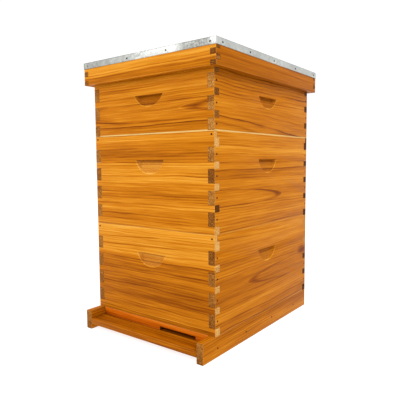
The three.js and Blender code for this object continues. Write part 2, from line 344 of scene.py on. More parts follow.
class Bench:
    """Lays out the nodes of one material."""

    def __init__(self, name: str) -> None:
        """Starts an empty material with its shader and output.

        Args:
            name: The material's name.
        """
        self.material = bpy.data.materials.new(name)
        self.material.use_nodes = True
        self.tree = self.material.node_tree
        self.tree.nodes.clear()
        self.shader = self._node("BsdfPrincipled")
        output = self._node("OutputMaterial")
        self.tree.links.new(self.shader.outputs["BSDF"], output.inputs["Surface"])
        self.source = self._node("TexCoord")

    def _feed(self, socket: Socket, value: Number | Colour | Vector) -> None:
        """Links a value to an input, or sets a plain one on it.

        Args:
            socket: The input.
            value: What it takes.
        """
        if isinstance(value, Value):
            self.tree.links.new(value.socket, socket)
        else:
            socket.default_value = value

    def _node(self, kind: str, **inputs: Number | Colour | Vector) -> bpy.types.Node:
        """Adds a shader node.

        Args:
            kind: The end of its type's name.
            inputs: What its inputs take, under the inputs' own names.

        Returns:
            The node.
        """
        made = self.tree.nodes.new(f"ShaderNode{kind}")
        for name, value in inputs.items():
            self._feed(made.inputs[name], value)
        return made

    def set(self, **values: Number | Colour) -> None:
        """Sets or links the shader's own inputs, named in lower case with underscores."""
        for name, value in values.items():
            self._feed(self.shader.inputs[name.replace("_", " ").title().replace("Ior", "IOR")], value)

    def place(self, centre: Vector, scale: float = 1 / MM) -> Value:
        """Reads Object coordinates in millimetres from a piece's own centre.

        Args:
            centre: The piece's centre in metres.
            scale: What the metres are multiplied by.

        Returns:
            The vector.
        """
        mapping = self._node("Mapping", Location=-Vector(centre) * scale, Scale=(scale, scale, scale))
        self.tree.links.new(self.source.outputs["Object"], mapping.inputs["Vector"])
        return Value(self, mapping.outputs["Vector"])

    def split(self, vector: Value) -> dict[str, Value]:
        """Returns a vector's parts under the keys X, Y and Z."""
        parts = self._node("SeparateXYZ", Vector=vector)
        return {axis: Value(self, parts.outputs[axis]) for axis in "XYZ"}

    def facing(self, axis: str) -> Value:
        """Returns how squarely the surface faces along an axis, from 0 to 1."""
        return abs(self.split(Value(self, self.source.outputs["Normal"]))[axis])

    def join(self, x: Number, y: Number, z: Number) -> Value:
        """Returns a vector made of three values."""
        return Value(self, self._node("CombineXYZ", X=x, Y=y, Z=z).outputs[0])

    def math(self, operation: str, *values: Number, clamp: bool = False) -> Value:
        """Adds one Math node.

        Args:
            operation: The node's operation, such as "ADD".
            values: What it works on, in the order of its inputs.
            clamp: Whether the result is kept between 0 and 1.

        Returns:
            The result.
        """
        made = self._node("Math")
        made.operation = operation
        made.use_clamp = clamp
        for socket, value in zip(made.inputs, values):
            self._feed(socket, value)
        return Value(self, made.outputs[0])

    def range(
        self, value: Value, low: float, high: float, to_low: float = 0.0, to_high: float = 1.0
    ) -> Value:
        """Maps a value smoothly from one range to another and clamps it.

        Args:
            value: The value to map.
            low: The value that gives `to_low`.
            high: The value that gives `to_high`.
            to_low: Result at `low`.
            to_high: Result at `high`.

        Returns:
            The result.
        """
        made = self._node("MapRange")
        made.interpolation_type = "SMOOTHSTEP"
        for socket, part in zip(made.inputs, (value, low, high, to_low, to_high)):
            self._feed(socket, part)
        return Value(self, made.outputs[0])

    def noise(self, vector: Value, scale: float, detail: float = 2.0, roughness: float = 0.5) -> Value:
        """Adds a noise whose value is about 0.5 on average.

        Args:
            vector: Where it is read.
            scale: Its features for each unit of the vector.
            detail: Octaves.
            roughness: Weight of the finer octaves.

        Returns:
            The noise.
        """
        made = self._node("TexNoise", Vector=vector, Scale=scale, Detail=detail, Roughness=roughness)
        return Value(self, made.outputs["Fac"])

    def cells(self, vector: Value, scale: float) -> tuple[Value, Value]:
        """Adds a Voronoi pattern.

        Args:
            vector: Where it is read.
            scale: Its cells for each unit of the vector.

        Returns:
            The distance to each cell's centre, and each cell's random value.
        """
        made = self._node("TexVoronoi", Vector=vector, Scale=scale)
        return Value(self, made.outputs["Distance"]), self.split(Value(self, made.outputs["Color"]))["X"]

    def chance(self, value: Value) -> Value:
        """Draws a random value that depends only on another one.

        Args:
            value: What it depends on.

        Returns:
            The random value, from 0 to 1.
        """
        made = self._node("TexWhiteNoise")
        made.noise_dimensions = "1D"
        self._feed(made.inputs["W"], value)
        return Value(self, made.outputs["Value"])

    def ramp(self, value: Value, stops: Iterable[tuple[float, Colour]], steps: bool = False) -> Value:
        """Adds a colour ramp.

        Args:
            value: What it is read by.
            stops: Pairs of a place from 0 to 1 and a colour.
            steps: Whether each colour holds unchanged up to the next stop.

        Returns:
            The colour.
        """
        made = self._node("ValToRGB")
        made.color_ramp.interpolation = "CONSTANT" if steps else "LINEAR"
        elements = made.color_ramp.elements
        stops = list(stops)
        while len(elements) < len(stops):
            elements.new(0.5)
        # All the places come first, because a stop that moves past another may change places with it.
        for element, (place, _) in zip(elements, stops):
            element.position = place
        for element, (place, colour) in zip(elements, stops):
            element.position = place
            element.color = colour
        self._feed(made.inputs["Fac"], value)
        return Value(self, made.outputs["Color"])

    def blend(self, share: Value, a: Value | Colour, b: Value | Colour) -> Value:
        """Turns one colour into another.

        Args:
            share: How much of `b` there is, from 0 to 1.
            a: The first colour.
            b: The second colour.

        Returns:
            The mixed colour.
        """
        made = self._node("Mix")
        made.data_type = "RGBA"
        for index, value in ((0, share), (6, a), (7, b)):
            self._feed(made.inputs[index], value)
        return Value(self, made.outputs[2])

    def relief(self, height: Value, depth: float, strength: float = 1.0) -> None:
        """Gives the shader a bump.

        Args:
            height: The relief, from 0 to 1.
            depth: What a height of 1 means, in metres.
            strength: Share of the bump that shows.
        """
        made = self._node("Bump", Strength=strength, Distance=depth, Height=height)
        self.tree.links.new(made.outputs["Normal"], self.shader.inputs["Normal"])


class Lie(Enum):
    """How the grain lies in a board: the axes along it, across its face, and through its thickness."""

    CROSSWISE = ("X", "Z", "Y")
    LENGTHWISE = ("Y", "Z", "X")
    FLAT = ("Y", "X", "Z")
    FLAT_CROSSWISE = ("X", "Y", "Z")
    UPRIGHT = ("Z", "X", "Y")


@dataclass(frozen=True)
class Strip:
    """One of the strips that a board is glued up from, in millimetres.

    Attributes:
        top: Where the strip starts, below the board's top edge.
        tone: Lightness of its face, 0 to 1.
        heart: Height of its log's heart over the board's middle; a far heart gives straight lines.
        tilt: How much the log leans through the board, for each mm of length; it opens the arches.
        end_tone: Lightness of its end grain, 0 to 1.
    """

    top: float
    tone: float
    heart: float = 420.0
    tilt: float = 0.0
    end_tone: float = 0.5


@dataclass(frozen=True)
class Palette:
    """The colours of a timber: its face and end grain, each from dark to light, and its pale arrises, partly
    rubbed wear and partly a painted highlight.
    """

    face: tuple[Colour, ...]
    end: tuple[Colour, ...]
    # The pale arris colour: partly rubbed wear, partly a painted highlight.
    worn_lit_edge: Colour = srgb(253, 228, 150, 0.8)


SURFACE_SHARE = 0.72  # the studio's light brings the rest of the brightness


def wood(*colours: tuple[float, float, float]) -> tuple[Colour, ...]:
    """Turns display colours, from dark to light, into the timber's own colours."""
    return tuple(srgb(*colour, SURFACE_SHARE) for colour in colours)


def grey(tone: float) -> Colour:
    """Returns the grey whose three channels are all `tone`."""
    return (tone, tone, tone, 1.0)


WAXED_FIR = Palette(
    face=wood((108, 48, 1), (156, 80, 2), (207, 121, 12), (236, 158, 44), (252, 197, 100)),
    end=wood((60, 24, 6), (128, 72, 20), (186, 122, 50), (246, 192, 112)),
)
RED_FIR = Palette(
    face=wood((96, 34, 1), (160, 68, 2), (222, 108, 8), (240, 138, 28), (250, 172, 70)),
    end=WAXED_FIR.end,
)
RAW_PINE = Palette(
    face=wood((150, 96, 44), (198, 150, 88), (224, 184, 124), (240, 210, 158), (248, 226, 184)),
    end=wood((120, 76, 36), (176, 128, 74), (212, 170, 114), (236, 204, 156)),
)
FACE_PLACES = (0.0, 0.25, 0.5, 0.75, 1.0)  # where a palette's face colours stand in its ramp
END_PLACES = (0.0, 0.33, 0.66, 1.0)

HEART_REACH = 600.0  # the furthest heart a strip may have, in mm
TILT_REACH = 0.1  # the steepest tilt
SEED_STEP = 37.0  # how far apart two boards' patterns are read

# A growth ring from its first early wood to its last late wood: how dark each part is.
LATE_WOOD = ((0.0, 0.3), (0.09, 0.0), (0.5, 0.08), (0.78, 0.45), (0.9, 1.0), (0.97, 0.9), (1.0, 0.3))
RARE = 2.5  # the higher, the fewer rings have a strong line
BAND_SHARE = 0.45  # how much the broad bands, the streaks and the fibres each move the tone
STREAK_SHARE = 0.66
FIBRE_SHARE = 0.75


@dataclass(frozen=True)
class Timber:
    """Solid timber: growth rings round a leaning log, cut by the board's faces.

    Attributes:
        name: The material's name.
        lie: How the grain lies.
        strips: The board's strips from the top down.
        palette: Its colours.
        ring: Distance between two growth rings, in mm.
        depth: How far the heart lies behind the board's middle, in mm.
        lines: How much the latewood lines darken the face.
        waves: How far the lines wander, in mm.
        bold_year: The growth ring with the darkest line, counted from the heart, or -1 for none.
        bold: How dark that line is, 0 to 1.
        seed: Sets the board's own pattern.
        figure: How strong the bands, streaks and fibres are.
        edge_wear_and_highlight: How much pale colour shows on the arrises at the board's head and foot, 0 to
            1, partly rubbed wear and partly a painted highlight.
        knot: A knot's place along and across the board from its middle, and its radius, in mm.
        border: How far a strip's tone takes to turn into the next one's, in mm.
        roughness: Of the finished surface.
        sheen: How strongly the surface mirrors.
        hold: A hand-hold's half width, its middle over the board's middle and its half height in mm,
            and 1 or -1 for which way along the depth axis the outside faces. None without one.
        hold_shade_and_tone: How much lighter the hand-hold's floor is painted than the face, partly for the
            duller routed wood and partly as painted light and shade that sets each hold's brightness.
    """

    name: str
    lie: Lie
    strips: tuple[Strip, ...]
    palette: Palette = WAXED_FIR
    ring: float = 7.0
    depth: float = 60.0
    lines: float = 0.5
    waves: float = 9.0
    bold_year: int = -1
    bold: float = 0.75
    seed: int = 0
    figure: float = 1.0
    edge_wear_and_highlight: tuple[float, float] = (0.08, 0.08)
    knot: tuple[float, float, float] | None = None
    border: float = 5.0
    roughness: float = 0.44
    sheen: float = 0.03
    hold: tuple[float, float, float, int] | None = None
    hold_shade_and_tone: float = 0.0

    def _strip_values(self, bench: Bench, across: Value, drift: Value, height: float) -> tuple[Value, ...]:
        """Reads the strip that a point lies in.

        Args:
            bench: The material's nodes.
            across: The point's height from the board's middle, in mm.
            drift: How far the tone's borders wander there, in mm.
            height: The board's height in mm.

        Returns:
            The tone, the heart's height, the tilt, and the end grain's tone.
        """
        up = bench.math("MULTIPLY_ADD", across, 1 / height, 0.5, clamp=True)
        tone_up = bench.math("MULTIPLY_ADD", drift, 1 / height, up, clamp=True)
        soft = 0.5 * self.border / height
        ordered = sorted(self.strips, key=lambda strip: -strip.top)
        facts = []
        tones = []
        for index, strip in enumerate(ordered):
            bottom = 1 - (ordered[index - 1].top if index else height) / height
            top = 1 - strip.top / height
            heart = (strip.heart / HEART_REACH + 1) / 2
            tilt = (strip.tilt / TILT_REACH + 1) / 2
            facts.append((bottom, (strip.end_tone, heart, tilt, 1.0)))
            tones += [(bottom + soft, grey(strip.tone)), (top - soft, grey(strip.tone))]
        read = bench.split(bench.ramp(up, facts, steps=True))
        heart = read["Y"] * (2 * HEART_REACH) - HEART_REACH
        tilt = read["Z"] * (2 * TILT_REACH) - TILT_REACH
        return bench.ramp(tone_up, tones), heart, tilt, read["X"]

    def material(self, low: Vector, high: Vector) -> bpy.types.Material:
        """Makes the material for one board.

        Args:
            low: The board's lowest corner, in metres.
            high: The board's highest corner, in metres.

        Returns:
            The material.
        """
        bench = Bench(self.name)
        along_axis, across_axis, depth_axis = self.lie.value
        sizes = dict(zip("XYZ", (Vector(high) - Vector(low)) / MM))
        point = bench.split(bench.place((Vector(low) + Vector(high)) / 2))
        along, across, through = point[along_axis], point[across_axis], point[depth_axis]
        shift = SEED_STEP * self.seed
        moved = along + 11.0 * shift

        # How the rings wander along the board.
        slow = bench.join(moved * 0.0035, across * 0.016, shift)
        quick = bench.join(moved * 0.013, across * 0.05, shift)
        wander = bench.noise(slow, 1.0, 2) - 0.5
        ripple = bench.noise(quick, 1.0, 2) - 0.5
        sway = wander * (2 * self.waves) + ripple * (0.45 * self.waves)
        tone, heart, tilt, end_tone = self._strip_values(bench, across, sway, sizes[across_axis])

        # Where the point stands in its log.
        over = across - heart + sway
        behind = along * tilt + self.depth + through
        turns = bench.math("SQRT", over**2 + behind**2) / self.ring
        knotty = self._knotty(bench, along, across) if self.knot else None
        if knotty:
            turns = turns + knotty * 1.7
        year = bench.math("FLOOR", turns)
        bold = bench.math("COMPARE", year, float(self.bold_year), 0.5)
        late = bench.ramp(bench.math("FRACT", turns), [(place, grey(dark)) for place, dark in LATE_WOOD])
        late = late ** (bold * 3.5 + 1.0)
        luck = bench.chance(year + float(self.seed))
        weight = bench.math("MAXIMUM", luck**RARE * 0.85 + 0.15, bold * self.bold)
        fade = bench.range(bench.noise(quick, 0.6, 1), 0.3, 0.6, 0.35, 1.0)
        line = late * weight * self.lines * fade

        # Fibres, streaks and broad bands, all drawn out along the grain.
        depths = through + shift
        flow = sway * 0.8 + across
        fibre = bench.noise(bench.join(moved * 0.015, across, depths), 0.75, 4, 0.65) - 0.5
        streak = bench.noise(bench.join(moved * 0.009, flow, depths), 0.25, 3, 0.7) - 0.5
        drift = bench.join(moved * 0.04, flow, depths)
        band = bench.noise(drift, 0.05, 3, 0.6) - 0.5
        face_tone = tone + band * (BAND_SHARE * self.figure)
        face_tone = face_tone + streak * (STREAK_SHARE * self.figure)
        face_tone = face_tone + fibre * (FIBRE_SHARE * self.figure) - line
        if knotty:
            face_tone = face_tone + knotty * -0.34

        # The routed floor of a hand-hold shows the cutter's rounds and is made lighter or darker per board,
        # partly for duller routed wood and partly as painted shade of the recess; its pale rim is partly wear
        # and partly a painted highlight.
        routed = None
        if self.hold:
            routed, rim = self._routed(bench, along, across, through, sizes[depth_axis])
            rounds = bench.math("SINE", over**2 * 0.012)
            face_tone = face_tone + routed * self.hold_shade_and_tone + routed * rounds * 0.09 + rim * 0.3
        face = bench.ramp(face_tone, zip(FACE_PLACES, self.palette.face))
        # Pale arrises at the head, foot and ends: partly rubbed wear, partly a painted highlight on the eased
        # edges.
        worn_lit_edge = self._worn_lit_edges(bench, along, across, sizes, bench.noise(drift, 0.4, 3))
        face = bench.blend(worn_lit_edge, face, self.palette.worn_lit_edge)

        # End grain drinks more of the finish and shows the sawn rings.
        rough_saw = bench.noise(bench.place((0, 0, 0)), 0.3, 4, 0.8)
        arc = bench.math("SINE", turns * (2.2 * math.tau))
        cut_tone = (rough_saw - 0.5) * 1.5 + end_tone + arc * 0.12
        end = bench.ramp(cut_tone, zip(END_PLACES, self.palette.end))
        is_end = bench.range(bench.facing(along_axis), 0.45, 0.95)
        if routed:
            is_end = bench.math("MAXIMUM", is_end, routed * 0.16)

        bench.set(base_color=bench.blend(is_end, face, end), specular_ior_level=self.sheen)
        bench.set(roughness=fibre * 0.25 + self.roughness + is_end * 0.22)
        bench.relief(fibre * 0.5 + line * 1.4 + rough_saw * is_end * 0.8, 0.35 * MM, 0.6)
        return bench.material

    def _worn_lit_edges(
        self, bench: Bench, along: Value, across: Value, sizes: dict[str, float], wear: Value
    ) -> Value:
        """Finds where a board's arrises are painted pale, partly as rubbed wear and partly as a painted
        highlight: at its head, its foot and its ends.

        Args:
            bench: The material's nodes.
            along: The point's place along the board, in mm.
            across: Its height from the board's middle, in mm.
            sizes: The board's sizes in mm, by axis.
            wear: A noise that breaks the pale arrises up.

        Returns:
            How much of the pale arris, wear and painted highlight, shows, from 0 to 1.
        """
        along_axis, across_axis, _ = self.lie.value
        half, end = sizes[across_axis] / 2, sizes[along_axis] / 2
        head_share, foot_share = self.edge_wear_and_highlight
        head = bench.range(across, half - 2.0, half - 0.6, 0.0, head_share)
        foot = bench.range(across, 2.0 - half, 0.6 - half, 0.0, foot_share)
        tip = bench.range(abs(along), end - 2.0, end - 0.5, 0.0, 0.15)
        worn_lit_edge = bench.math("MAXIMUM", bench.math("MAXIMUM", head, foot), tip)
        worn_lit_edge = worn_lit_edge * bench.range(wear, 0.3, 0.55, 0.45, 1.0)
        return worn_lit_edge * bench.range(bench.facing(across_axis), 0.95, 0.8)

    def _knotty(self, bench: Bench, along: Value, across: Value) -> Value:
        """Finds how near a point is to the board's knot.

        Args:
            bench: The material's nodes.
            along: The point's place along the board, in mm.
            across: Its height from the board's middle, in mm.

        Returns:
            1 in the knot, falling to 0 some way off, sooner across the grain than along it.
        """
        place_along, place_across, radius = self.knot
        off_along = (along - place_along) * 0.45
        off_across = across - place_across
        away = bench.math("SQRT", off_along**2 + off_across**2)
        return bench.range(away, 2.6 * radius, 0.3 * radius) ** 1.6

    def _routed(
        self, bench: Bench, along: Value, across: Value, through: Value, thick: float
    ) -> tuple[Value, Value]:
        """Finds the routed surface of the board's hand-hold.

        Args:
            bench: The material's nodes.
            along: The point's place along the board, in mm.
            across: Its height from the board's middle, in mm.
            through: Its depth from the board's middle, in mm.
            thick: The board's thickness in mm.

        Returns:
            Masks for the routed floor and for its pale rim, which is partly wear and partly a painted
            highlight.
        """
        half_width, middle, half_height, outward = self.hold
        near = bench.range(abs(along), half_width + 1, half_width)
        near = near * bench.range(abs(across - middle), half_height + 1, half_height)
        depth = through * -outward + thick / 2
        routed = near * bench.range(depth, 0.3, 1.6) * bench.range(depth, 17, 14)
        rim = near * bench.range(depth, 0.02, 0.3) * bench.range(depth, 1.9, 0.5)
        return routed, rim * bench.range(depth, 13, 9)


@dataclass(frozen=True)
class Plywood:
    """Thin plies, whose faces are peeled wood and whose edges show each ply.

    Attributes:
        name: The material's name.
        plies: How many plies the sheet has.
        seed: Sets the sheet's own pattern.
    """

    name: str
    plies: int = 3
    seed: int = 0

    def material(self, low: Vector, high: Vector) -> bpy.types.Material:
        """Makes the material for one sheet that lies flat.

        Args:
            low: The sheet's lowest corner, in metres.
            high: The sheet's highest corner, in metres.

        Returns:
            The material.
        """
        bench = Bench(self.name)
        places = (0.0, 0.5, 1.0)
        thickness = (high[2] - low[2]) / MM
        spot = bench.place((Vector(low) + Vector(high)) / 2)
        point = bench.split(spot)
        peel = bench.join(point["X"] * 0.035, point["Y"] * 0.006, SEED_STEP * self.seed)
        arch = bench.math("FRACT", bench.noise(peel, 1.0, 3, 0.55) * 9.0)
        fibre = bench.noise(bench.join(point["X"], point["Y"] * 0.03, point["Z"]), 0.9, 4, 0.6)
        peeled = wood((150, 92, 40), (205, 150, 88), (236, 196, 138))
        face = bench.ramp(fibre * 0.5 + 0.4 + arch * -0.28, zip(places, peeled))
        level = bench.math("FLOOR", point["Z"] * (self.plies / thickness) + self.plies / 2)
        odd = bench.math("MODULO", level, 2.0)
        grit = bench.noise(spot, 0.7, 4, 0.7)
        sawn = wood((96, 54, 24), (176, 122, 66), (224, 184, 128))
        edge = bench.ramp(grit * 0.5 + 0.45 + odd * -0.35, zip(places, sawn))
        is_face = bench.range(bench.facing("Z"), 0.5, 0.9)
        bench.set(base_color=bench.blend(is_face, edge, face))
        bench.set(roughness=fibre * 0.2 + 0.5, specular_ior_level=0.35)
        bench.relief(fibre * 0.6 + arch * 0.3, 0.25 * MM, 0.6)
        return bench.material


@dataclass(frozen=True)
class Galvanised:
    """Hot-dipped zinc on sheet steel: flat crystals, an even grey between them, and tarnish.

    Attributes:
        name: The material's name.
        crystal: Size of a zinc crystal, in mm.
    """

    name: str
    crystal: float = 7.0

    def material(self) -> bpy.types.Material:
        """Makes the material.

        Returns:
            The material.
        """
        bench = Bench(self.name)
        spot = bench.place((0, 0, 0))
        bend = bench.noise(spot, 0.12, 2)
        point = bench.split(spot)
        wavy = bench.join(bend * 9.0 + point["X"], bend * -7.0 + point["Y"], bend * 5.0 + point["Z"])
        distance, crystal = bench.cells(wavy, 1 / self.crystal)
        _, fine = bench.cells(wavy, 2.7 / self.crystal)
        dull = bench.noise(spot, 0.012, 4, 0.6)
        mottle = bench.noise(spot, 0.16, 4, 0.7)
        # The crystals show in patches, and elsewhere the zinc is an even grey.
        patch = bench.range(bench.noise(spot, 0.006, 2), 0.48, 0.62, 0.25, 1.0)
        grain = mottle * 0.3 + (crystal * 0.34 + fine * 0.18 - 0.41)
        tone = dull * 0.35 + 0.53 + grain * patch
        # The front flange has gone dull near its right end, and is darker to the left.
        front = bench.range(point["Y"], -250, -256)
        end = bench.range(point["X"], 96, 150) * bench.range(point["X"], 214, 204)
        tarnish = end * front * bench.range(mottle, 0.36, 0.62, 0.35, 1.0)
        left = bench.range(point["X"], 20, -120) * front
        tone = tone + tarnish * -0.3 + left * -0.14
        # The folds at the flanges' head and foot are darker: painted shade along the bends.
        upright = bench.range(bench.facing("Z"), 0.9, 0.5)
        head = bench.range(point["Z"], 743.0, 744.3)
        foot = bench.range(point["Z"], 729.2, 728.0, 0.0, 0.6)
        tone = tone + bench.math("MAXIMUM", head, foot) * upright * -0.3
        greys = (srgb(96, 96, 90), srgb(158, 159, 154), srgb(186, 188, 184), srgb(214, 217, 214))
        bench.set(base_color=bench.ramp(tone, zip((0.3, 0.55, 0.75, 1.0), greys)))
        bench.set(roughness=crystal * 0.18 + 0.36 + tarnish * 0.3, metallic=tarnish * -0.75 + 0.85)
        bench.relief(mottle * 0.35 + distance * -0.03, 0.25 * MM, 0.5)
        return bench.material


@dataclass(frozen=True)
class Steel:
    """Bright or dulled steel for nails, wires and eyelets.

    Attributes:
        name: The material's name.
        clean: Display colour where it is clean.
        dull: Display colour where it has dulled.
        metallic: How metallic it is.
        sheen: How strongly the surface mirrors.
    """

    name: str
    clean: tuple[float, float, float]
    dull: tuple[float, float, float]
    metallic: float = 0.7
    sheen: float = 0.5

    def material(self) -> bpy.types.Material:
        """Makes the material.

        Returns:
            The material.
        """
        bench = Bench(self.name)
        patch = bench.noise(bench.place((0, 0, 0)), 0.9, 4, 0.7)
        share = bench.range(patch, 0.35, 0.65)
        bench.set(base_color=bench.blend(share, srgb(*self.clean), srgb(*self.dull)))
        bench.set(roughness=share * 0.3 + 0.35, metallic=self.metallic, specular_ior_level=self.sheen)
        bench.relief(patch, 0.08 * MM, 0.5)
        return bench.material


@dataclass(frozen=True)
class Beeswax:
    """Milled wax sheet, a cloudy yellow with a pale bloom.

    Attributes:
        name: The material's name.
    """

    name: str

    def material(self) -> bpy.types.Material:
        """Makes the material.

        Returns:
            The material.
        """
        bench = Bench(self.name)
        spot = bench.place((0, 0, 0))
        cloud = bench.noise(spot, 0.02, 3, 0.6)
        bloom = bench.noise(spot, 0.6, 3, 0.6)
        yellows = (srgb(196, 132, 30), srgb(226, 168, 58), srgb(242, 202, 112))
        bench.set(base_color=bench.ramp(bloom * 0.35 + cloud * 0.7, zip((0.25, 0.5, 0.8), yellows)))
        bench.set(roughness=bloom * 0.2 + 0.38, specular_ior_level=0.45)
        bench.set(subsurface_weight=0.15, subsurface_scale=0.004)
        bench.relief(bloom, 0.1 * MM, 0.4)
        return bench.material


# ---- The hive ----


class Side(Enum):
    """The four walls of a box or rim."""

    FRONT = "front"
    REAR = "rear"
    LEFT = "left"
    RIGHT = "right"

    @property
    def lie(self) -> Lie:
        """How the grain lies in this wall."""
        return Lie.CROSSWISE if self in (Side.FRONT, Side.REAR) else Lie.LENGTHWISE

    @property
    def outward(self) -> int:
        """Which way along its depth axis this wall's outside faces."""
        return -1 if self in (Side.FRONT, Side.LEFT) else 1


BOX_EASE = 0.7 * MM
TRIM_EASE = 0.9 * MM
PANEL_EASE = 0.3 * MM


def dressed(node: str, name: str, body: str, slot: str, ease: float, finish: Timber | Plywood) -> Piece:
    """Makes a CAD node's board in its own finish.

    Args:
        node: The CAD node that the board stands for.
        name: The new piece's name.
        body: The CAD body that it moves with.
        slot: A material slot's name, which it passes on.
        ease: Width of the rounding along each arris, in metres.
        finish: What it is made of.

    Returns:
        The board.
    """
    low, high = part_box(node)
    return fitted(cad_board(node, name, ease), body, slot, finish.material(low, high))


@dataclass
class Shop:
    """Finishes and small hardware that all the sub-assemblies share.

    Attributes:
        nail_radius: Radius of a nail head, drawn wide enough that its dark colour also paints the shade of
            the sunken hole round it.
        nail_height: Its thickness without the crown.
        nail_sink: How deep its underside is set in.
        nail_crown: How far its middle stands out.
        steel: Bright steel.
        nail_steel_and_hole_shade: Dulled steel for the nail heads, painted dark to stand also for the shade
            of their sunken holes.
    """

    nail_radius: float = 2.4 * MM
    nail_height: float = 0.5 * MM
    nail_sink: float = 0.2 * MM
    nail_crown: float = 0.12 * MM
    steel: bpy.types.Material = field(init=False)
    nail_steel_and_hole_shade: bpy.types.Material = field(init=False)

    def __post_init__(self) -> None:
        """Mixes the metal finishes."""
        self.steel = Steel("bright_steel", (190, 190, 188), (132, 130, 126), 0.85).material()
        # The nail heads are a dark red-brown, partly dulled steel and partly painted shade of the sunken nail
        # holes.
        self.nail_steel_and_hole_shade = Steel("nail_steel_and_hole_shade_finish", (62, 26, 8), (30, 13, 5), 0.0, 0.06).material()

    def nail_head(self) -> Piece:
        """Models one round nail head that faces +Z, with the surface it is driven into at the origin.

        Returns:
            The pattern, which is copied and then discarded.
        """
        bpy.ops.object.select_all(action="DESELECT")
        bpy.ops.mesh.primitive_cylinder_add(vertices=12, radius=self.nail_radius, depth=self.nail_height)
        head = bpy.context.object
        head.data.transform(Matrix.Translation((0, 0, self.nail_height / 2 - self.nail_sink)))
        bpy.ops.object.mode_set(mode="EDIT")
        pick("faces", lambda face: face.normal.z > 0.9)
        bpy.ops.mesh.inset(thickness=0.5 * self.nail_radius)
        bpy.ops.transform.translate(value=(0, 0, self.nail_crown))
        bpy.ops.object.mode_set(mode="OBJECT")
        head.location = (0, 0, 0)
        return smooth(head, 50)

    def nails(self, name: str, body: str, places: list[tuple[Vector, Vector]]) -> Piece:
        """Drives a set of nails.

        Args:
            name: The piece's name.
            body: The CAD body that they ride on.
            places: For each nail, the point on the surface and the way the surface faces.

        Returns:
            The nails as one piece.
        """
        pattern = self.nail_head()
        heads = []
        for index, (point, outward) in enumerate(places):
            turn = Vector((0, 0, 1)).rotation_difference(Vector(outward)).to_matrix().to_4x4()
            heads.append(copied(pattern, f"{name}_{index}", Matrix.Translation(point) @ turn))
        discard(pattern)
        return fitted(joined(name, heads), body, "steel_nail", self.nail_steel_and_hole_shade)


@dataclass
class HiveBox:
    """A deep box or the super: four finger-jointed boards and their nails.

    Attributes:
        name: The box's name in the frame.
        shop: The shared hardware.
        strips: What each wall is glued up from.
        seed: Sets the box's own patterns.
        finger_middles: How far below the box's top each nailed finger's middle lies, in metres.
        hold_drop: How far below the box's top the hand-holds start, in mm.
        hold_half: Half a hand-hold's height, in mm.
        traits: What is special about each wall's timber.
        hold_half_width: Half a hand-hold's width, in mm.
        nail_inset: How far the side walls' nails are from the corner.
        face_nail_inset: How far the end walls' nails are from the corner.
        face_nail_drop: How far they are below the box's top.
    """

    name: str
    shop: Shop
    strips: dict[Side, tuple[Strip, ...]]
    seed: int
    finger_middles: tuple[float, ...]
    hold_drop: float
    hold_half: float
    traits: dict[Side, dict[str, float | tuple[float, ...]]]
    hold_half_width: float = 54.0
    nail_inset: float = 9 * MM
    face_nail_inset: float = 8.5 * MM
    face_nail_drop: float = 9 * MM

    def build(self) -> None:
        """Builds and dresses the box."""
        for index, side in enumerate(Side):
            node = f"{self.name}_{side.value}"
            low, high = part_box(node)
            hold_middle = (high.z - low.z) / MM / 2 - self.hold_drop - self.hold_half
            timber = Timber(
                name=f"waxed_fir_{node}",
                lie=side.lie,
                strips=self.strips[side],
                seed=self.seed + index,
                hold=(self.hold_half_width, hold_middle, self.hold_half + 1, side.outward),
                **self.traits.get(side, {}),
            )
            dressed(node, f"{node}_board", self.name, "waxed_fir", BOX_EASE, timber)
        self._corner_nails()

    def _corner_nails(self) -> None:
        """Nails each finger of the side boards, and the top corners of the end boards."""
        front_low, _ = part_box(f"{self.name}_front")
        _, rear_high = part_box(f"{self.name}_rear")
        left_low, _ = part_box(f"{self.name}_left")
        _, right_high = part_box(f"{self.name}_right")
        places = []
        for x, way in ((left_low.x, -1), (right_high.x, 1)):
            for y in (front_low.y + self.nail_inset, rear_high.y - self.nail_inset):
                for down in self.finger_middles:
                    places.append((Vector((x, y, rear_high.z - down)), Vector((way, 0, 0))))
        for y, way in ((front_low.y, -1), (rear_high.y, 1)):
            for x in (left_low.x + self.face_nail_inset, right_high.x - self.face_nail_inset):
                places.append((Vector((x, y, rear_high.z - self.face_nail_drop)), Vector((0, way, 0))))
        self.shop.nails(f"{self.name}_nails", self.name, places)


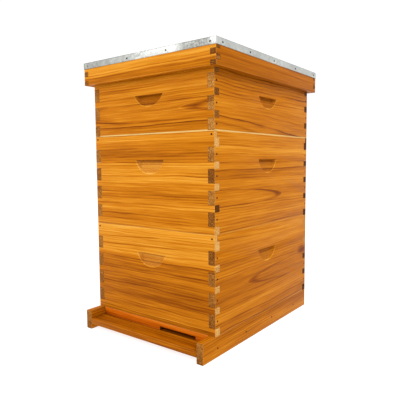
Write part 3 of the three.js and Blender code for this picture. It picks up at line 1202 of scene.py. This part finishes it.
@dataclass
class BottomBoard:
    """The floor between two rails, the rear rail, and the stick that narrows the entrance.

    Attributes:
        shop: The shared hardware.
        nail_height: How high the rails' nails are.
        nail_steps: How far each one is behind the rails' front ends.
    """

    shop: Shop
    nail_height: float = 22.5 * MM
    nail_steps: tuple[float, ...] = (60 * MM, 190 * MM, 330 * MM, 470 * MM)

    def build(self) -> None:
        """Builds and dresses the bottom board and the entrance reducer."""
        rail_strips = (Strip(0, 0.44, 380, 0, 0.5), Strip(31, 0.53, -300, 0, 0.4))
        floor_strips = (
            Strip(0, 0.44, 300, 0, 0.3),
            Strip(120, 0.36, 20, 0.04, 0.35),
            Strip(270, 0.46, -320, 0, 0.3),
            # Painted shade: this nearly black strip stands for the shade on the floor inside the entrance.
            Strip(400, 0.08, 360, 0, 0.35),
            Strip(486, 0.34, 360, 0, 0.35),
        )
        stick_strips = (Strip(0, 0.56, 320, 0, 0.3), Strip(11, 0.47, -320, 0, 0.3))
        parts = (
            ("bottom_left_rail", Lie.LENGTHWISE, rail_strips, "bottom_board"),
            ("bottom_right_rail", Lie.LENGTHWISE, rail_strips, "bottom_board"),
            ("bottom_rear_rail", Lie.CROSSWISE, rail_strips, "bottom_board"),
            ("bottom_floor", Lie.FLAT_CROSSWISE, floor_strips, "bottom_board"),
            ("entrance_reducer", Lie.CROSSWISE, stick_strips, "entrance_reducer"),
        )
        for seed, (node, lie, strips, body) in enumerate(parts, start=60):
            palette = RED_FIR if node == "entrance_reducer" else WAXED_FIR
            timber = Timber(f"waxed_fir_{node}", lie, strips, palette, ring=5.5, seed=seed, waves=4.0)
            dressed(node, f"{node}_board", body, "waxed_fir", TRIM_EASE, timber)
        self._rail_nails()

    def _rail_nails(self) -> None:
        """Nails the rails to the edges of the floor."""
        low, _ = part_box("bottom_left_rail")
        _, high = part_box("bottom_right_rail")
        places = []
        for x, way in ((low.x, -1), (high.x, 1)):
            for step in self.nail_steps:
                places.append((Vector((x, low.y + step, self.nail_height)), Vector((way, 0, 0))))
        self.shop.nails("bottom_rail_nails", "bottom_board", places)


@dataclass
class InnerCover:
    """A thin panel held by four grooved strips.

    Attributes:
        seed: Sets the strips' and the panel's patterns.
    """

    seed: int = 80

    def build(self) -> None:
        """Builds and dresses the inner cover."""
        for index, side in enumerate(Side):
            node = f"inner_cover_{side.value}_strip"
            timber = Timber(
                name=f"waxed_fir_{node}",
                lie=side.lie,
                strips=(Strip(0, 0.5, 320),),
                ring=5.0,
                seed=self.seed + index,
                waves=3.0,
            )
            dressed(node, f"{node}_piece", "inner_cover", "waxed_fir", BOX_EASE, timber)
        plywood = Plywood("inner_cover_plywood", plies=3, seed=self.seed + 4)
        dressed("inner_cover_panel", "inner_cover_panel_sheet", "inner_cover", "plywood", PANEL_EASE, plywood)


@dataclass
class OuterCover:
    """The telescoping cover: a finger-jointed rim, a plywood deck and a folded metal sheet.

    Attributes:
        shop: The shared hardware.
        sheet: Thickness of the metal.
        margin: How far it stands inside its box, which leaves room for the nail heads.
        fold: Width of the fold along each edge.
        lap: Width of a corner's lap at its foot.
        lap_lean: How much of that width the lap has lost at its top.
        lap_ease: Width of the rounding along a lap's edges.
        nail_drop: How far the nails are below the top.
        end_nails: Where the nails of the front and rear stand, in mm from the middle.
        side_nails: Where the nails of the left and right stand, in mm from the middle.
    """

    shop: Shop
    sheet: float = 0.35 * MM
    margin: float = 0.45 * MM
    fold: float = 0.9 * MM
    lap: float = 19 * MM
    lap_lean: float = 0.62
    lap_ease: float = 0.15 * MM
    nail_drop: float = 9.69 * MM
    end_nails: tuple[float, ...] = (-212, -54, 79, 210)
    side_nails: tuple[float, ...] = (-246, -127, -4, 126, 255)

    def build(self) -> None:
        """Builds and dresses the outer cover."""
        strips = {
            Side.FRONT: (Strip(0, 0.66, 300, 0, 0.3), Strip(26, 0.44, -280, 0, 0.45)),
            Side.RIGHT: (Strip(0, 0.36, -300, 0, 0.3),),
            Side.LEFT: (Strip(0, 0.46, 340, 0, 0.4),),
            Side.REAR: (Strip(0, 0.55, -320, 0, 0.4), Strip(24, 0.44, 300, 0, 0.3)),
        }
        for index, side in enumerate(Side):
            node = f"cover_rim_{side.value}"
            figure, lines = (1.0, 0.45) if side.lie is Lie.CROSSWISE else (0.5, 0.2)
            timber = Timber(
                name=f"waxed_fir_{node}",
                lie=side.lie,
                strips=strips[side],
                ring=8.0,
                seed=90 + index,
                waves=7.0,
                figure=figure,
                lines=lines,
            )
            dressed(node, f"{node}_board", "outer_cover", "waxed_fir", TRIM_EASE, timber)
        plywood = Plywood("cover_plywood", plies=9, seed=95)
        dressed("cover_deck", "cover_deck_sheet", "outer_cover", "plywood", BOX_EASE, plywood)
        self._roof()
        self._roof_nails()

    def _roof(self) -> None:
        """Folds the metal sheet down over the deck, with a lap round each corner."""
        low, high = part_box("cover_roof_sheet")
        inset = Vector((self.margin, self.margin, 0))
        roof = block("roof_sheet", low + inset, high - inset)
        pick("faces", lambda face: face.normal.z < -0.9)
        bpy.ops.mesh.delete(type="ONLY_FACE")
        pick("edges", lambda edge: edge.is_manifold)
        bpy.ops.mesh.bevel(offset=self.fold, segments=3, affect="EDGES")
        bpy.ops.mesh.select_all(action="SELECT")
        bpy.ops.mesh.normals_make_consistent(inside=False)
        bpy.ops.object.mode_set(mode="OBJECT")
        wall = roof.modifiers.new("wall", "SOLIDIFY")
        wall.thickness = self.sheet
        wall.offset = -1
        wall.use_even_offset = True
        only(roof)
        bpy.ops.object.modifier_apply(modifier="wall")
        laps = [self._corner_lap(x_way, y_way, low, high) for x_way in (-1, 1) for y_way in (-1, 1)]
        made = smooth(joined("roof_sheet", [roof, *laps]))
        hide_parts("cover_roof_sheet")
        fitted(made, "outer_cover", "galvanised_sheet", Galvanised("galvanised_sheet").material())

    def _corner_lap(self, x_way: int, y_way: int, low: Vector, high: Vector) -> Piece:
        """Folds one corner's spare metal flat on to the end flange.

        Args:
            x_way: -1 for the left corner, 1 for the right.
            y_way: -1 for the front corner, 1 for the rear.
            low: The sheet's lowest corner.
            high: The sheet's highest corner.

        Returns:
            The lap, wide at its foot and narrow at the top.
        """
        corner = Vector((high.x if x_way > 0 else low.x, high.y if y_way > 0 else low.y, 0))
        corner.x -= x_way * self.margin
        inner = corner + Vector((-x_way * self.lap, -y_way * self.margin, 0))
        near = Vector((min(corner.x, inner.x), min(corner.y, inner.y), low.z))
        far = Vector((max(corner.x, inner.x), max(corner.y, inner.y), high.z - 0.5 * self.fold))
        lap = block("lap", near, far)
        top = far.z
        pick("verts", lambda vert: vert.co.z > top - 0.1 * MM and abs(vert.co.x - inner.x) < 0.1 * MM)
        bpy.ops.transform.translate(value=(x_way * self.lap_lean * self.lap, 0, 0))
        ease_edges(self.lap_ease)
        bpy.ops.object.mode_set(mode="OBJECT")
        return lap

    def _roof_nails(self) -> None:
        """Nails the sheet's flanges to the deck."""
        low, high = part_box("cover_roof_sheet")
        middle = (low.y + high.y) / 2
        z = high.z - self.nail_drop
        places = []
        for x in self.end_nails:
            for y, way in ((low.y + self.margin, -1), (high.y - self.margin, 1)):
                places.append((Vector((x * MM, y, z)), Vector((0, way, 0))))
        for step in self.side_nails:
            for x, way in ((low.x + self.margin, -1), (high.x - self.margin, 1)):
                places.append((Vector((x, middle + step * MM, z)), Vector((way, 0, 0))))
        self.shop.nails("roof_nails", "outer_cover", places)


@dataclass
class HangingFrames:
    """Ten frames of one box: grooved bars, a wired wax foundation and its wires.

    Attributes:
        nodes: How the frames' nodes are called, without their numbers.
        shop: The shared finishes.
        seed: Sets the frames' own patterns.
        wires: How many wires a frame has.
        count: How many frames there are.
        lug: Height of the top bar's lugs.
        shoulder: Height of the end bars' wide upper part.
        shoulder_taper: Height over which they narrow.
        waist_set_in: How much they narrow on each side.
        end_bar: Thickness of an end bar.
        end_bar_drop: How far its top is below the top bar's.
        top_bar: Height of the top bar between the end bars.
        top_bar_width: Width of the top bar.
        bottom_bar: Height of the bottom bar.
        bottom_set_in: How much narrower the bottom bar is on each side than the frame.
        end_space: Length of a lug.
        groove: Width and depth of the grooves for the wax.
        seat: How much of a groove's depth the wax takes up.
        ease: Width of the rounding along each arris.
        cell: Width of a cell across its flats.
        cell_depth: How deep the cells are pressed.
        wax: Thickness of the wax.
        wire: Radius of a wire.
        wire_offset: How far the wires lie from the wax's middle.
        eyelet: Radius of an eyelet's ring.
        eyelet_rim: Radius of its rim.
        low: A frame's lowest corner, with its middle over the origin.
        high: Its highest corner.
    """

    nodes: str
    shop: Shop
    seed: int
    wires: int
    count: int = 10
    lug: float = 9.2 * MM
    shoulder: float = 95 * MM
    shoulder_taper: float = 10 * MM
    waist_set_in: float = 3.2 * MM
    end_bar: float = 10 * MM
    end_bar_drop: float = 2 * MM
    top_bar: float = 19 * MM
    top_bar_width: float = 27.66 * MM
    bottom_bar: float = 9.5 * MM
    bottom_set_in: float = 8 * MM
    end_space: float = 17.3 * MM
    groove: float = 3 * MM
    seat: float = 0.8
    ease: float = 0.8 * MM
    cell: float = 5.4 * MM
    cell_depth: float = 0.7 * MM
    wax: float = 0.8 * MM
    wire: float = 0.25 * MM
    wire_offset: float = 0.9 * MM
    eyelet: float = 1.3 * MM
    eyelet_rim: float = 0.45 * MM
    low: Vector = field(init=False)
    high: Vector = field(init=False)

    def build(self) -> None:
        """Models one frame and copies it to all ten places."""
        low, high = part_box(f"{self.nodes}_01")
        shift = Vector(((low.x + high.x) / 2, (low.y + high.y) / 2, 0))
        self.low = low - shift
        self.high = high - shift
        centre = Vector((0, 0, (low.z + high.z) / 2))
        size = self.high - self.low
        bars = self._bars()
        foundation = self._foundation()
        wires = self._wires()
        wax = Beeswax(f"{self.nodes}_beeswax").material()
        for number in range(1, self.count + 1):
            node = f"{self.nodes}_{number:02d}"
            node_low, node_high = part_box(node)
            middle = (node_low + node_high) / 2
            place = Matrix.Translation((middle.x, middle.y, 0))
            corner = Vector((middle.x, middle.y, centre.z))
            finishes = [kind.material(corner - size / 2, corner + size / 2) for kind in self._pines(number)]
            wood = copied(bars, f"{node}_bars", place)
            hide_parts(node)
            fitted(wood, node, "raw_pine", *finishes)
            fitted(copied(foundation, f"{node}_foundation", place), node, "beeswax", wax)
            fitted(copied(wires, f"{node}_wires", place), node, "steel_nail", self.shop.steel)
        for pattern in (bars, foundation, wires):
            discard(pattern)

    def _pines(self, number: int) -> list[Timber]:
        """Chooses one frame's wood.

        Args:
            number: The frame's number.

        Returns:
            The timber of its level bars, then that of its upright ones.
        """
        rng = random.Random(self.seed + number)
        kinds = (
            ("raw_pine", Lie.FLAT, 3.2, 0, 2.5, 0.28),
            ("raw_pine_upright", Lie.UPRIGHT, 2.6, 40, 2.0, 0.25),
        )
        return [
            Timber(
                name=f"{kind}_{self.nodes}_{number:02d}",
                lie=lie,
                strips=(Strip(0, 0.55 + rng.uniform(-0.1, 0.12), rng.uniform(-260, 260)),),
                palette=RAW_PINE,
                ring=ring,
                seed=self.seed + number + apart,
                waves=waves,
                lines=lines,
                roughness=0.62,
            )
            for kind, lie, ring, apart, waves, lines in kinds
        ]

    def _grooved_bar(self, name: str, low: Vector, high: Vector, up: int) -> Piece:
        """Models a straight bar with a groove for the foundation along one face.

        Args:
            name: The bar's name.
            low: Lowest corner.
            high: Highest corner.
            up: 1 where the groove is in the top face, -1 in the bottom face.

        Returns:
            The bar, in edit mode.
        """
        bar = block(name, low, high)
        for x in (-self.groove / 2, self.groove / 2):
            cut_across(0, x)
        push_faces(
            lambda face: face.normal.z * up > 0.9 and abs(face.calc_center_median().x) < self.groove / 2,
            Vector((0, 0, -up * self.groove)),
        )
        return bar

    def _bars(self) -> Piece:
        """Models the top bar with its lugs, the bottom bar and the two end bars.

        Returns:
            The joined bars: material slot 0 along Y, slot 1 upright.
        """
        low, high = self.low, self.high
        half = self.top_bar_width / 2
        inner = high.y - self.end_space - self.end_bar
        top = self._grooved_bar(
            "top", Vector((-half, low.y, high.z - self.lug)), Vector((half, high.y, high.z)), -1
        )
        for y in (-inner, inner):
            cut_across(1, y)
        push_faces(
            lambda face: face.normal.z < -0.9
            and abs(face.calc_center_median().y) < inner
            and abs(face.calc_center_median().x) > self.groove / 2,
            Vector((0, 0, self.lug - self.top_bar)),
        )
        ease_edges(self.ease)
        bpy.ops.object.mode_set(mode="OBJECT")

        width = high.x - self.bottom_set_in
        bottom = self._grooved_bar(
            "bottom", Vector((-width, -inner, low.z)), Vector((width, inner, low.z + self.bottom_bar)), 1
        )
        ease_edges(self.ease)
        bpy.ops.object.mode_set(mode="OBJECT")

        uprights = []
        for way in (-1, 1):
            out = way * (high.y - self.end_space)
            back = way * inner
            upright = block(
                "upright",
                Vector((low.x, min(out, back), low.z)),
                Vector((high.x, max(out, back), high.z - self.end_bar_drop)),
            )
            step = high.z - self.end_bar_drop - self.shoulder
            cut_across(2, step)
            cut_across(2, step - self.shoulder_taper)
            pick("verts", lambda vert: vert.co.z < step - 0.5 * self.shoulder_taper)
            slim = 1 - 2 * self.waist_set_in / (high.x - low.x)
            bpy.ops.transform.resize(value=(slim, 1, 1), center_override=(0, 0, 0))
            ease_edges(self.ease)
            bpy.ops.object.mode_set(mode="OBJECT")
            uprights.append(upright)
        bars = [top, bottom, *uprights]
        markers = [bpy.data.materials.new(way) for way in ("level", "upright")]
        for bar in bars:
            for marker in markers:
                bar.data.materials.append(marker)
            for face in bar.data.polygons:
                face.material_index = 1 if bar in uprights else 0
        made = smooth(joined("bars", bars))
        for marker in markers:
            bpy.data.materials.remove(marker)
        return made

    def _foundation(self) -> Piece:
        """Models the wax sheet, pressed with the floors of hexagonal cells.

        Returns:
            The sheet.
        """
        inner = self.high.y - self.end_space - self.end_bar
        bottom = self.low.z + self.bottom_bar - self.seat * self.groove
        top = self.high.z - self.top_bar + self.seat * self.groove
        radius = self.cell / math.sqrt(3)
        bpy.ops.object.select_all(action="DESELECT")
        bpy.ops.mesh.primitive_circle_add(vertices=6, radius=radius, fill_type="NGON")
        sheet = bpy.context.object
        bpy.ops.object.mode_set(mode="EDIT")
        bpy.ops.mesh.select_all(action="SELECT")
        bpy.ops.mesh.poke(offset=-self.cell_depth)
        bpy.ops.mesh.select_all(action="SELECT")
        bpy.ops.mesh.duplicate_move(TRANSFORM_OT_translate={"value": (self.cell / 2, 1.5 * radius, 0)})
        bpy.ops.object.mode_set(mode="OBJECT")
        columns = math.ceil(2 * inner / self.cell) + 2
        rows = math.ceil((top - bottom) / (3 * radius)) + 2
        for name, number, step in (("row", columns, (self.cell, 0, 0)), ("column", rows, (0, 3 * radius, 0))):
            array = sheet.modifiers.new(name, "ARRAY")
            array.count = number
            array.use_relative_offset = False
            array.use_constant_offset = True
            array.constant_offset_displace = step
            bpy.ops.object.modifier_apply(modifier=name)
        turn = Matrix(((0, 0, 1, 0), (1, 0, 0, 0), (0, 1, 0, 0), (0, 0, 0, 1)))
        start = Matrix.Translation((0, -inner - self.cell, bottom - 2 * radius))
        sheet.data.transform(start @ turn)
        bpy.ops.object.mode_set(mode="EDIT")
        bpy.ops.mesh.select_all(action="SELECT")
        bpy.ops.mesh.remove_doubles(threshold=0.05 * MM)
        for axis, place, keep in ((1, -inner, 1), (1, inner, -1), (2, bottom, 1), (2, top, -1)):
            cut_across(axis, place, keep)
        bpy.ops.mesh.select_all(action="SELECT")
        bpy.ops.mesh.normals_make_consistent(inside=False)
        bpy.ops.object.mode_set(mode="OBJECT")
        wall = sheet.modifiers.new("wall", "SOLIDIFY")
        wall.thickness = self.wax
        wall.offset = 0
        bpy.ops.object.modifier_apply(modifier="wall")
        sheet.name = "foundation"
        return sheet

    def _wires(self) -> Piece:
        """Models the wires that hold the wax, each with an eyelet in both end bars.

        Returns:
            The joined wires and eyelets.
        """
        out = self.high.y - self.end_space
        bottom = self.low.z + self.bottom_bar
        top = self.high.z - self.top_bar
        lengthwise = Matrix.Rotation(math.pi / 2, 4, "X")
        parts = []
        for index in range(self.wires):
            z = bottom + (top - bottom) * (index + 0.75) / (self.wires + 0.5)
            bpy.ops.object.select_all(action="DESELECT")
            bpy.ops.mesh.primitive_cylinder_add(vertices=8, radius=self.wire, depth=2 * out)
            wire = bpy.context.object
            wire.data.transform(Matrix.Translation((self.wire_offset, 0, z)) @ lengthwise)
            parts.append(wire)
            for way in (-1, 1):
                bpy.ops.object.select_all(action="DESELECT")
                bpy.ops.mesh.primitive_torus_add(
                    major_segments=12,
                    minor_segments=6,
                    major_radius=self.eyelet,
                    minor_radius=self.eyelet_rim,
                )
                eyelet = bpy.context.object
                eyelet.data.transform(Matrix.Translation((self.wire_offset, way * out, z)) @ lengthwise)
                parts.append(eyelet)
        return smooth(joined("wires", parts), 60)


# ---- The studio ----


@dataclass
class Studio:
    """A pale floor, a white surround, soft lamps and the camera.

    Attributes:
        floor_half: Half the floor's width, in metres.
        floor_glow: Its own light, which lets it fade into the surround.
        surround: Strength of the surround's light.
        aim: The point that the lamps face.
        eye: Where the camera stands.
        yaw: Its turn to the left, in degrees.
        pitch: Its tilt up from level, in degrees.
        roll: Its roll, in degrees.
        lens: Its focal length, in mm.
    """

    floor_half: float = 12.0
    floor_glow: float = 0.82
    surround: float = 1.06
    aim: tuple[float, float, float] = (0.0, 0.0, 0.4)
    eye: tuple[float, float, float] = (0.8068, -1.0838, 0.470)
    yaw: float = 37.24
    pitch: float = -4.91
    roll: float = -0.42
    lens: float = 40.42

    def build(self) -> None:
        """Sets up the studio."""
        scene = bpy.context.scene
        scene.view_settings.view_transform = "Standard"
        self._floor()
        world = bpy.data.worlds.new("white_surround")
        world.use_nodes = True
        background = world.node_tree.nodes["Background"]
        background.inputs["Color"].default_value = grey(1.0)
        background.inputs["Strength"].default_value = self.surround
        scene.world = world
        self._lamp("front_key", (-1.2, -2.9, 2.4), 1.6, 50.0)
        self._lamp("high_right", (2.4, -0.5, 3.3), 1.2, 59.0)
        self._camera()

    def _floor(self) -> None:
        """Lays the floor, which fades into the surround."""
        bpy.ops.object.select_all(action="DESELECT")
        bpy.ops.mesh.primitive_plane_add(size=2 * self.floor_half)
        floor = bpy.context.object
        floor.name = "studio_floor"
        bench = Bench("studio_white")
        bench.set(base_color=grey(0.35), roughness=0.9, specular_ior_level=0.0)
        bench.set(emission_color=grey(1.0), emission_strength=self.floor_glow)
        floor.data.materials.append(bench.material)

    def _lamp(self, name: str, place: tuple[float, float, float], size: float, power: float) -> None:
        """Hangs one soft lamp that faces the hive.

        Args:
            name: The lamp's name.
            place: Where it hangs, in metres.
            size: Its width and height.
            power: Its power in watts.
        """
        lamp = bpy.data.lights.new(name, "AREA")
        lamp.shape = "SQUARE"
        lamp.size = size
        lamp.energy = power
        hung = bpy.data.objects.new(name, lamp)
        hung.location = place
        way = Vector(self.aim) - Vector(place)
        hung.rotation_euler = way.to_track_quat("-Z", "Y").to_euler()
        bpy.context.scene.collection.objects.link(hung)

    def _camera(self) -> None:
        """Sets the camera."""
        data = bpy.data.cameras.new("camera")
        data.lens = self.lens
        data.sensor_width = 36.0
        camera = bpy.data.objects.new("camera", data)
        turn = (
            Matrix.Rotation(math.radians(self.yaw), 4, "Z")
            @ Matrix.Rotation(math.radians(90 + self.pitch), 4, "X")
            @ Matrix.Rotation(math.radians(self.roll), 4, "Z")
        )
        camera.matrix_world = Matrix.Translation(self.eye) @ turn
        bpy.context.scene.collection.objects.link(camera)
        bpy.context.scene.camera = camera


DEEP_FINGERS = (55 * MM, 106 * MM, 157 * MM, 208 * MM)
SUPER_FINGERS = (55 * MM, 106 * MM, 154 * MM)

SUPER_STRIPS = {
    Side.FRONT: (
        # Painted shadow of the cover: the top 20 mm is darkened.
        Strip(0, 0.36, 330, 0, 0.3),
        Strip(20, 0.52, 330, 0, 0.35),
        Strip(58, 0.53, -300, 0, 0.3),
        Strip(92, 0.52, -28, -0.016, 0.4),
        Strip(140, 0.5, -330, 0, 0.35),
    ),
    Side.RIGHT: (
        # Painted shadow of the cover: the top 42 mm is darkened, most at the very top.
        Strip(0, 0.14, 340, 0, 0.52),
        Strip(20, 0.36, 340, 0, 0.57),
        Strip(42, 0.47, -260, 0, 0.62),
        Strip(78, 0.54, -420, 0, 0.42),
        Strip(104, 0.5, -96, 0.03, 0.62),
    ),
    Side.REAR: (Strip(0, 0.5, 300, 0, 0.15), Strip(62, 0.42, 40, 0.03, 0.1), Strip(121, 0.55, -320, 0, 0.2)),
    Side.LEFT: (
        Strip(0, 0.52, -340, 0, 0.42),
        Strip(55, 0.6, 280, 0, 0.52),
        Strip(118, 0.46, -20, -0.04, 0.47),
    ),
}
UPPER_STRIPS = {
    Side.FRONT: (
        Strip(0, 0.62, 330, 0, 0.8),
        Strip(19, 0.5, 330, 0, 0.85),
        Strip(36, 0.42, -360, 0, 0.85),
        Strip(54, 0.46, -360, 0, 0.85),
        Strip(74, 0.68, 280, 0, 0.85),
        Strip(126, 0.56, 30, 0.012, 0.85),
        Strip(152, 0.5, 330, 0, 0.85),
        Strip(172, 0.6, -300, 0, 0.15),
        Strip(202, 0.5, -300, 0, 0.8),
        Strip(228, 0.64, 330, 0, 0.8),
    ),
    Side.RIGHT: (
        Strip(0, 0.56, 330, 0, 0.47),
        Strip(36, 0.64, 330, 0, 0.57),
        Strip(52, 0.52, -280, 0, 0.52),
        Strip(78, 0.58, 300, 0, 0.47),
        Strip(90, 0.46, 300, 0, 0.32),
        Strip(114, 0.56, -420, 0, 0.32),
        Strip(140, 0.49, -44, 0.02, 0.57),
        Strip(180, 0.54, 320, 0, 0.37),
        Strip(216, 0.5, -300, 0, 0.37),
    ),
    Side.REAR: (Strip(0, 0.5, -330, 0, 0.1), Strip(84, 0.58, 20, 0.04, 0.12), Strip(160, 0.45, 330, 0, 0.08)),
    Side.LEFT: (
        Strip(0, 0.58, 330, 0, 0.52),
        Strip(70, 0.48, -330, 0, 0.42),
        Strip(151, 0.55, -60, -0.03, 0.52),
    ),
}
LOWER_STRIPS = {
    Side.FRONT: (
        Strip(0, 0.74, 330, 0, 0.85),
        Strip(24, 0.64, 120, 0.03, 0.9),
        Strip(76, 0.47, -330, 0, 0.75),
        Strip(88, 0.42, -330, 0, 0.8),
        Strip(150, 0.37, 330, 0, 0.8),
        Strip(200, 0.46, 300, 0, 0.85),
        Strip(230, 0.52, -300, 0, 0.85),
    ),
    Side.RIGHT: (
        Strip(0, 0.6, 160, -0.03, 0.37),
        Strip(34, 0.52, 160, -0.03, 0.32),
        Strip(60, 0.46, 330, 0, 0.37),
        Strip(94, 0.52, 330, 0, 0.47),
        Strip(110, 0.4, -20, -0.02, 0.47),
        Strip(168, 0.42, -300, 0, 0.42),
        Strip(194, 0.54, -300, 0, 0.42),
        Strip(216, 0.48, 330, 0, 0.42),
    ),
    Side.REAR: (Strip(0, 0.46, 330, 0, 0.7), Strip(90, 0.54, -60, 0.03, 0.1), Strip(172, 0.44, -330, 0, 0.1)),
    Side.LEFT: (
        Strip(0, 0.5, -300, 0, 0.52),
        Strip(66, 0.44, 30, 0.04, 0.47),
        Strip(149, 0.54, 340, 0, 0.42),
    ),
}

# The pale seams between the boxes set in these traits are partly wear and partly a painted highlight.
SUPER_TRAITS = {
    # Each hand-hold's floor is lightened or darkened here, partly as painted shade of the recess.
    Side.FRONT: {
        "ring": 8.35,
        "depth": 69.5,
        "bold_year": 6,
        "waves": 6.0,
        "hold_shade_and_tone": -0.14,
        "edge_wear_and_highlight": (0.1, 0.85),
    },
    Side.RIGHT: {"hold_shade_and_tone": -0.12, "bold_year": 8, "bold": 0.4, "figure": 0.75, "edge_wear_and_highlight": (0.1, 0.8)},
}
UPPER_TRAITS = {
    Side.FRONT: {"waves": 6.0, "hold_shade_and_tone": -0.05, "edge_wear_and_highlight": (0.7, 0.1)},
    Side.RIGHT: {
        "depth": 58.7,
        "bold_year": 9,
        "waves": 6.0,
        "hold_shade_and_tone": -0.06,
        "figure": 0.8,
        "edge_wear_and_highlight": (0.7, 0.1),
    },
}
LOWER_TRAITS = {
    Side.FRONT: {"waves": 8.0, "hold_shade_and_tone": 0.02},
    Side.RIGHT: {
        "depth": 58.3,
        "bold_year": 9,
        "bold": 0.5,
        "waves": 7.0,
        "hold_shade_and_tone": 0.02,
        "figure": 0.8,
        "knot": (226.0, 14.0, 9.0),
    },
}


def main() -> None:
    """Builds the hive and the studio."""
    logging.basicConfig(level=logging.INFO, format="%(name)s: %(message)s")
    Studio().build()
    shop = Shop()
    BottomBoard(shop).build()
    HiveBox("lower_deep", shop, LOWER_STRIPS, 10, DEEP_FINGERS, 67, 18.5, LOWER_TRAITS).build()
    HiveBox("upper_deep", shop, UPPER_STRIPS, 20, DEEP_FINGERS, 67, 18.5, UPPER_TRAITS).build()
    HiveBox("super", shop, SUPER_STRIPS, 30, SUPER_FINGERS, 69.6, 15.5, SUPER_TRAITS).build()
    HangingFrames("lower_frame", shop, 100, 4).build()
    HangingFrames("upper_frame", shop, 200, 4).build()
    HangingFrames("super_frame", shop, 300, 2).build()
    InnerCover().build()
    OuterCover(shop).build()


if __name__ == "__main__":
    main()
